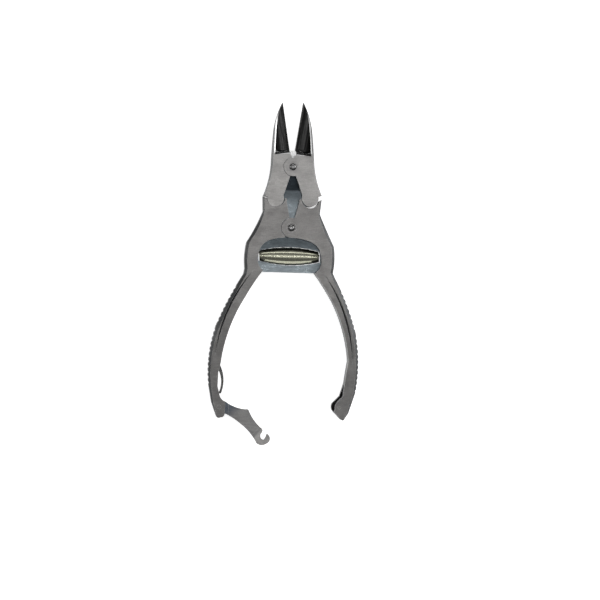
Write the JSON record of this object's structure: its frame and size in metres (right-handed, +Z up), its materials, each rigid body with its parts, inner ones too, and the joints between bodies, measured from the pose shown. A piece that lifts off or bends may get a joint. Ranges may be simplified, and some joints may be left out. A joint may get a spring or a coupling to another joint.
{
  "type": "compound nail nipper",
  "caption": "Hand-held compound-action nail nipper with pointed hollow-ground jaws, a barrel return spring and a hook lock at the handle ends.",
  "frame": {"origin": "middle of the footprint, on the back face that the tool rests on", "axes": "+Z up through the tool's thickness, +Y towards the jaw tips, +X towards the handle without the lever"},
  "size_m": [0.0651, 0.1488, 0.008],
  "materials": {
    "satin_steel": "satin brushed dark stainless steel",
    "plate_steel": "smooth fine-ground steel",
    "pin_steel": "polished dome",
    "spring_steel": "tempered spring steel strip"
  },
  "bodies": {
    "centre": {"centre_plate": "plate_steel", "jaw_pin": "pin_steel", "handle_pin": "pin_steel", "barrel_spring": "spring_steel"},
    "left_jaw": {"left_jaw": "satin_steel"},
    "right_jaw": {"right_jaw": "satin_steel"},
    "left_handle": {"left_handle": "satin_steel", "lock_pin": "satin_steel", "lock_spring": "spring_steel"},
    "right_handle": {"right_handle": "satin_steel", "catch_pin": "pin_steel"},
    "lock_lever": {"lock_lever": "satin_steel"}
  },
  "joints": [
    {"name": "left_handle_turn", "type": "hinge", "parent": "centre", "child": "left_handle", "pos_m": [0.00192, 0.01992, 0.004], "axis": [0, 0, 1], "range_deg": [0, 12.3], "stiffness_Nm_per_rad": 1.5, "springref_deg": -8.59, "deforming": ["barrel_spring"]},
    {"name": "right_handle_turn", "type": "hinge", "parent": "centre", "child": "right_handle", "pos_m": [0.00192, 0.01992, 0.004], "axis": [0, 0, -1], "range_deg": [0, 8.7], "stiffness_Nm_per_rad": 1.5, "springref_deg": -8.59, "deforming": ["barrel_spring"]},
    {"name": "left_jaw_turn", "type": "hinge", "parent": "centre", "child": "left_jaw", "pos_m": [0.00192, 0.04627, 0.004], "axis": [0, 0, 1], "range_deg": [-10.12, 0]},
    {"name": "right_jaw_turn", "type": "hinge", "parent": "centre", "child": "right_jaw", "pos_m": [0.00192, 0.04627, 0.004], "axis": [0, 0, -1], "range_deg": [-7.72, 0]},
    {"name": "lock_lever_turn", "type": "hinge", "parent": "left_handle", "child": "lock_lever", "pos_m": [-0.02742, -0.05815, 0.004], "axis": [0, 0, 1], "range_deg": [0, 27.2]}
  ],
  "couplings": [
    {"joint": "left_jaw_turn", "follows": "left_handle_turn", "ratio": -0.8211},
    {"joint": "right_jaw_turn", "follows": "right_handle_turn", "ratio": -0.8851}
  ]
}
